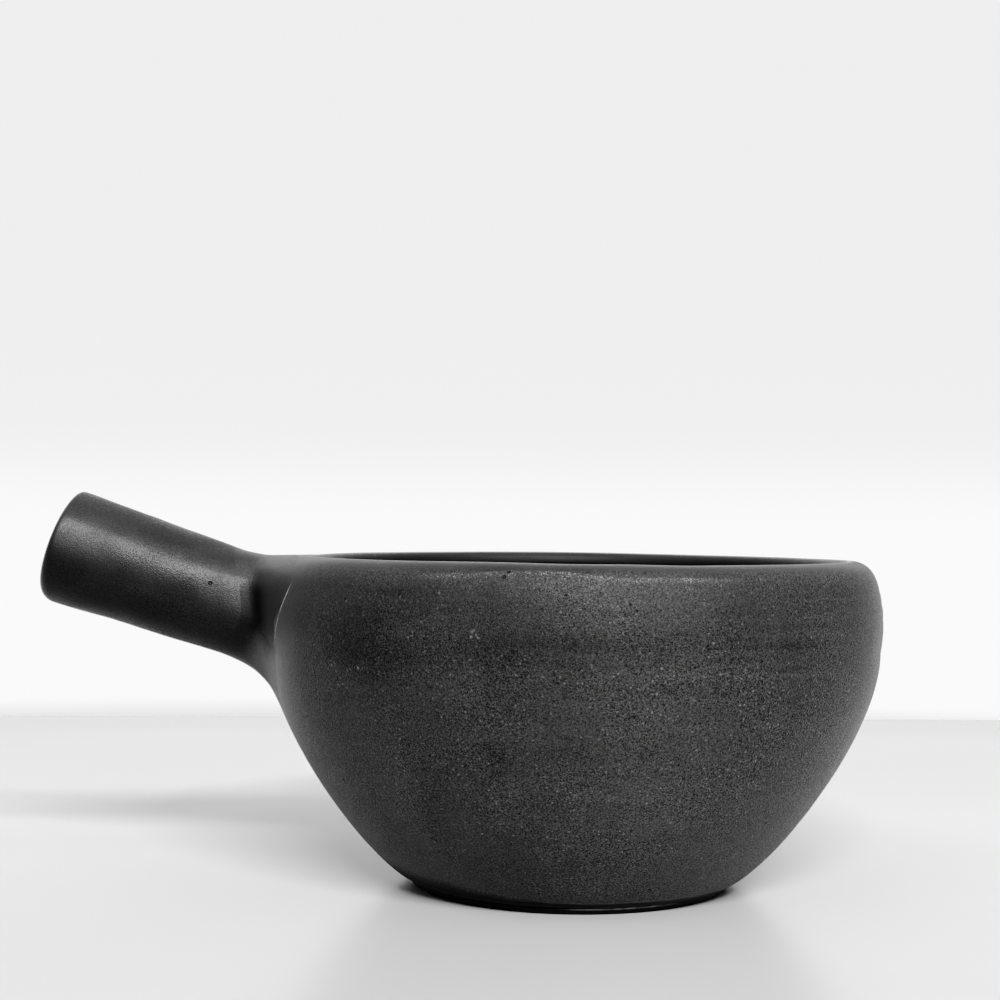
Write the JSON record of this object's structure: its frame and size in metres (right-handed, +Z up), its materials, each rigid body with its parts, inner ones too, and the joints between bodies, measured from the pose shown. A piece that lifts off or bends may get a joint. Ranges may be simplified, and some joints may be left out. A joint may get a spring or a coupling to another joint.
{
  "type": "single-handle clay cooking pot",
  "caption": "Open round stoneware pot on a low foot, with a turned-in rounded rim and a straight hollow handle that rises from a smoothed collar below the rim.",
  "frame": {"origin": "centre of the foot's standing face, on the bowl's axis", "axes": "+Z up along the bowl's axis, the handle points to -X"},
  "size_m": [0.278, 0.2028, 0.1268],
  "materials": {
    "dark_glaze": "satin charcoal glaze with fine pale speckle and small pinholes",
    "bare_clay": "unglazed dark clay, fine grained and matt",
    "handle_glaze": "satin charcoal glaze, smoother than on the bowl",
    "collar_glaze": "satin charcoal glaze, thin and paler where the clay was smoothed over"
  },
  "bodies": {
    "root": {"bowl": "dark_glaze", "foot_ring": "bare_clay", "handle": "handle_glaze", "handle_collar": "collar_glaze"}
  },
  "joints": []
}
